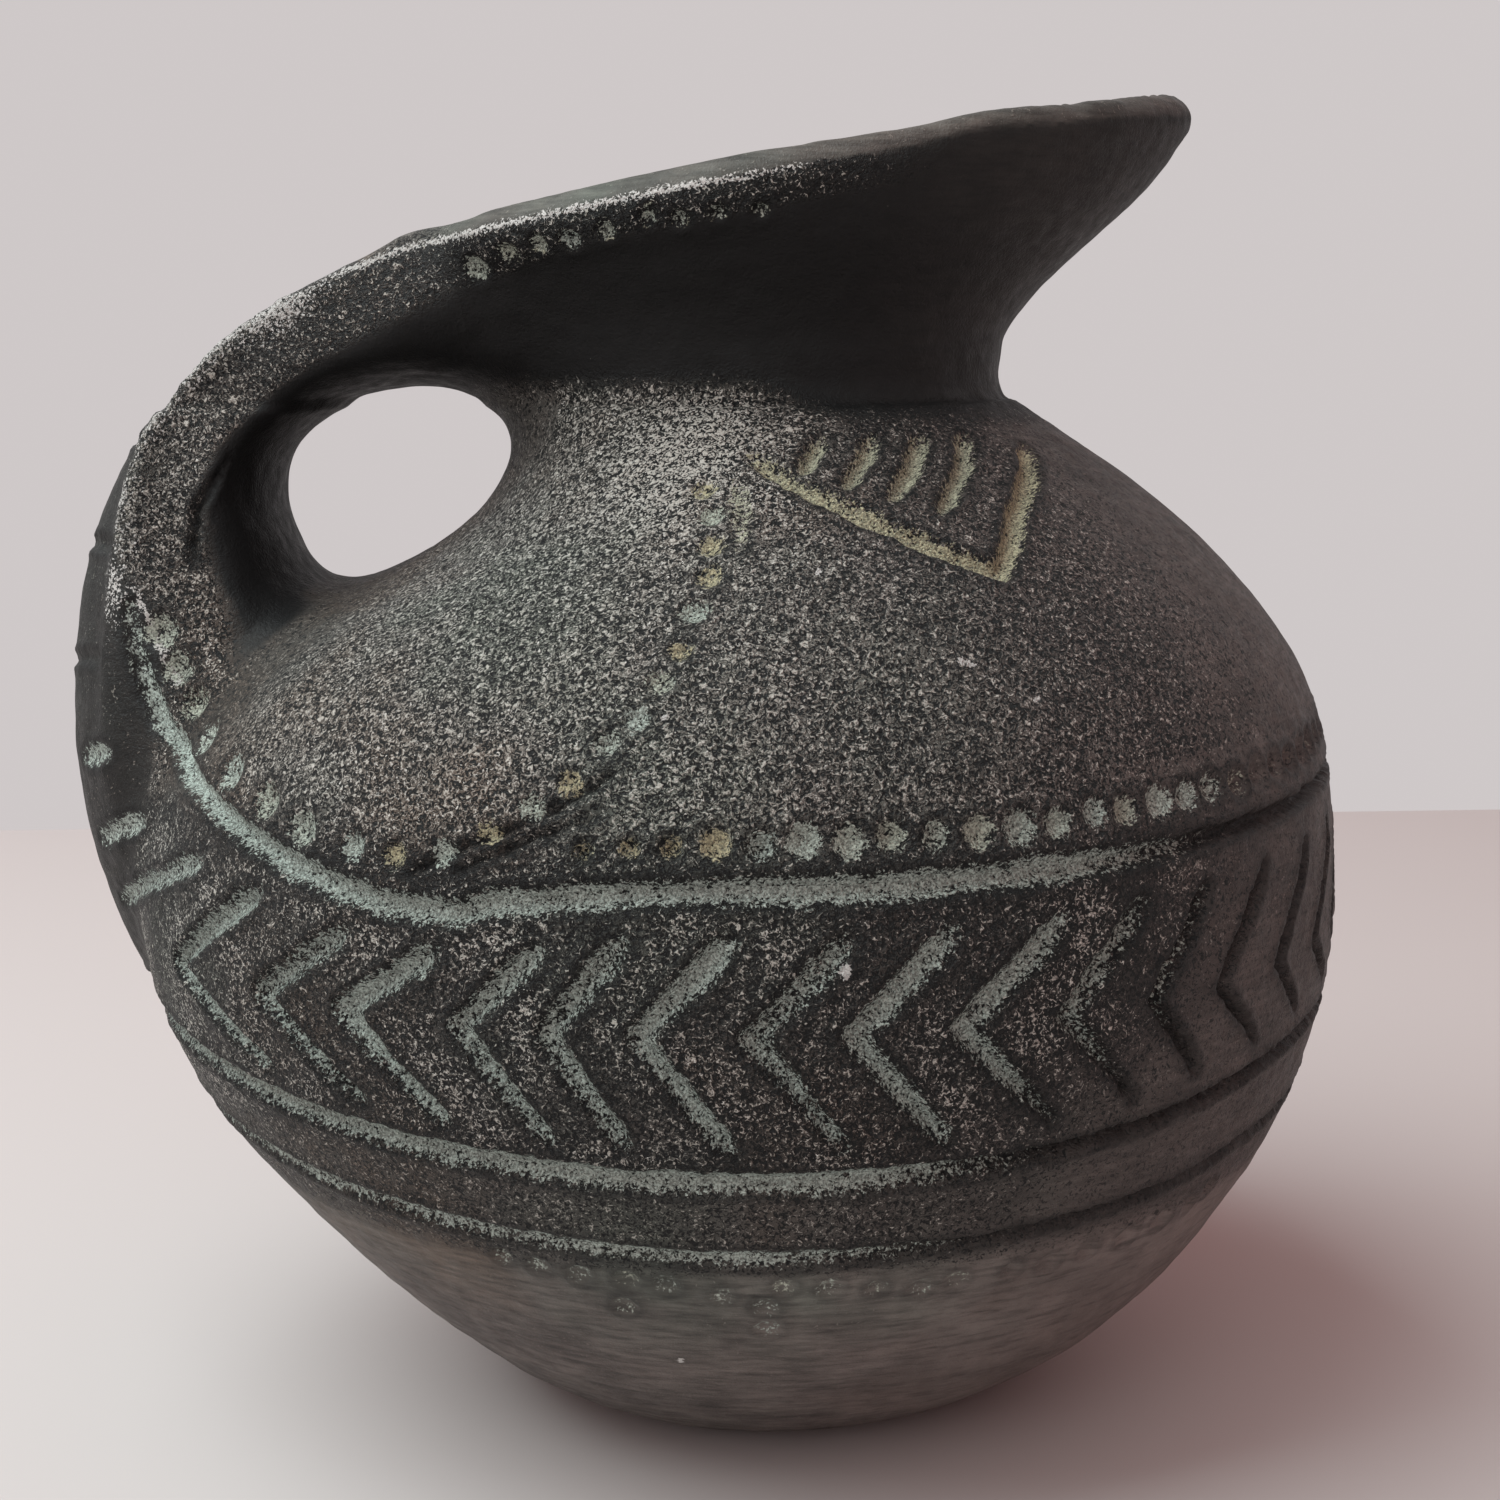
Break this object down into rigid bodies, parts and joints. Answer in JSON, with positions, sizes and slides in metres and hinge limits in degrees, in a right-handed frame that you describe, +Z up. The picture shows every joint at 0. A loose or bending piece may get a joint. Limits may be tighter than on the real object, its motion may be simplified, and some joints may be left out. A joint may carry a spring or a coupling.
{
  "type": "ceramic jug",
  "caption": "Hand-built smoke-fired jug with a round bottom, a strap handle, a long flared mouth rising to a beaked spout, and incised bands filled with pale paste.",
  "frame": {"origin": "centre of the flat foot, on the surface that the jug stands on", "axes": "+Z up, +X towards the spout, handle at -X, the jug is mirrored about its XZ plane"},
  "size_m": [0.1517, 0.1348, 0.1542],
  "materials": {
    "smoked_clay": "coarse burnished smoke-fired ware, dark grey-brown",
    "dark_clay": "coarse smoke-fired ware, near black",
    "handle_clay": "burnished smoke-fired ware, worn bright on its edges",
    "pale_paste": "matt pale grey-green paste, chalky",
    "yellow_paste": "matt yellowish paste, chalky"
  },
  "bodies": {
    "root": {"foot_disc": "dark_clay", "lower_bowl": "smoked_clay", "belly_band": "dark_clay", "shoulder_dome": "smoked_clay", "neck_collar": "dark_clay", "flared_mouth": "dark_clay", "handle_strap": "handle_clay", "handle_root": "handle_clay", "upper_line_paste": "pale_paste", "lower_line_paste": "pale_paste", "second_line_paste": "pale_paste", "chevron_paste_near_01": "pale_paste", "chevron_paste_near_02": "pale_paste", "chevron_paste_near_03": "pale_paste", "chevron_paste_near_04": "pale_paste", "chevron_paste_near_05": "pale_paste", "chevron_paste_near_06": "pale_paste", "chevron_paste_near_07": "pale_paste", "chevron_paste_near_08": "pale_paste", "chevron_paste_near_09": "pale_paste", "chevron_paste_near_10": "pale_paste", "chevron_paste_near_11": "pale_paste", "chevron_paste_near_12": "pale_paste", "chevron_paste_near_13": "pale_paste", "chevron_paste_near_14": "pale_paste", "chevron_paste_near_15": "pale_paste", "chevron_paste_near_16": "pale_paste", "chevron_paste_far_01": "pale_paste", "chevron_paste_far_02": "pale_paste", "chevron_paste_far_03": "pale_paste", "chevron_paste_far_04": "pale_paste", "chevron_paste_far_05": "pale_paste", "chevron_paste_far_06": "pale_paste", "chevron_paste_far_07": "pale_paste", "chevron_paste_far_08": "pale_paste", "chevron_paste_far_09": "pale_paste", "chevron_paste_far_10": "pale_paste", "chevron_paste_far_11": "pale_paste", "chevron_paste_far_12": "pale_paste", "chevron_paste_far_13": "pale_paste", "chevron_paste_far_14": "pale_paste", "chevron_paste_far_15": "pale_paste", "chevron_paste_far_16": "pale_paste", "triangle_paste_near": "yellow_paste", "hatch_paste_near_1": "yellow_paste", "hatch_paste_near_2": "yellow_paste", "hatch_paste_near_3": "yellow_paste", "hatch_paste_near_4": "yellow_paste", "triangle_paste_far": "yellow_paste", "hatch_paste_far_1": "yellow_paste", "hatch_paste_far_2": "yellow_paste", "hatch_paste_far_3": "yellow_paste", "hatch_paste_far_4": "yellow_paste"}
  },
  "joints": []
}
